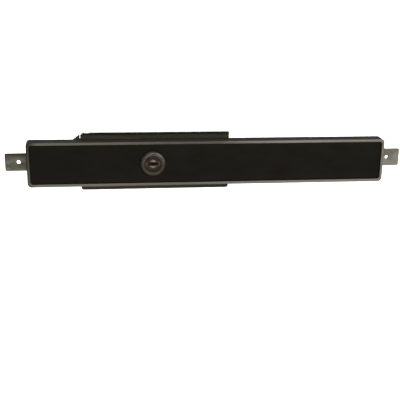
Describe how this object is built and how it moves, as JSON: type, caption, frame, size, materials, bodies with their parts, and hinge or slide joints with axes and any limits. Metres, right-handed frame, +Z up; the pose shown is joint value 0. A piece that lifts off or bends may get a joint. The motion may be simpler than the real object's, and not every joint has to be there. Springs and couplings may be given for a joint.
{
  "type": "garage door handle",
  "caption": "Long black centre handle of a roller garage door, whose key barrel turns a disc that slides a flat tongue out of each end.",
  "frame": {"origin": "on the lock plate's back face, which lies on the door, at the middle of the bar's length and height", "axes": "+X along the bar to its right end as seen from outside, +Y into the door, +Z up"},
  "size_m": [0.3098, 0.0166, 0.0446],
  "materials": {
    "black_paint": "satin black paint on a zinc casting",
    "black_inlay": "smooth semi-gloss black sheet",
    "dark_plate": "thin dark paint on sheet steel",
    "dull_nickel": "dull brownish nickel plating",
    "zinc_plate": "dull zinc plating with an olive cast",
    "plain_steel": "bright plated steel",
    "wafer_brass": "plain stamped brass",
    "guide_nylon": "natural moulded nylon"
  },
  "bodies": {
    "handle": {"casing": "black_paint", "face_plate": "black_inlay", "lock_plate": "dark_plate", "barrel_housing": "dull_nickel", "barrel_nut": "plain_steel", "left_outer_guide": "guide_nylon", "left_inner_guide": "guide_nylon", "right_inner_guide": "guide_nylon", "right_outer_guide": "guide_nylon", "left_keeper": "zinc_plate", "right_keeper": "zinc_plate", "plate_screw_1": "plain_steel", "plate_screw_2": "plain_steel", "plate_screw_3": "plain_steel", "plate_screw_4": "plain_steel", "keeper_screw_1": "plain_steel", "keeper_screw_2": "plain_steel", "keeper_screw_3": "plain_steel", "keeper_screw_4": "plain_steel"},
    "plug": {"barrel_plug": "dull_nickel", "wafer_1": "wafer_brass", "wafer_2": "wafer_brass", "wafer_3": "wafer_brass", "wafer_4": "wafer_brass", "drive_disc": "zinc_plate", "left_drive_pin": "plain_steel", "right_drive_pin": "plain_steel", "disc_washer": "plain_steel", "disc_screw": "plain_steel"},
    "left_slider": {"left_tongue": "zinc_plate"},
    "right_slider": {"right_tongue": "zinc_plate"}
  },
  "joints": [
    {"name": "plug_turn", "type": "hinge", "parent": "handle", "child": "plug", "pos_m": [-0.04381, -0.01, 0], "axis": [0, 1, 0], "range_deg": [0, 90]},
    {"name": "left_slide", "type": "slide", "parent": "handle", "child": "left_slider", "axis": [-1, 0, 0], "range_m": [0, 0.01499]},
    {"name": "right_slide", "type": "slide", "parent": "handle", "child": "right_slider", "axis": [1, 0, 0], "range_m": [0, 0.01499]}
  ],
  "couplings": [
    {"joint": "left_slide", "follows": "right_slide", "ratio": 1},
    {"joint": "plug_turn", "follows": "right_slide", "rad_per_m": 104.78}
  ]
}
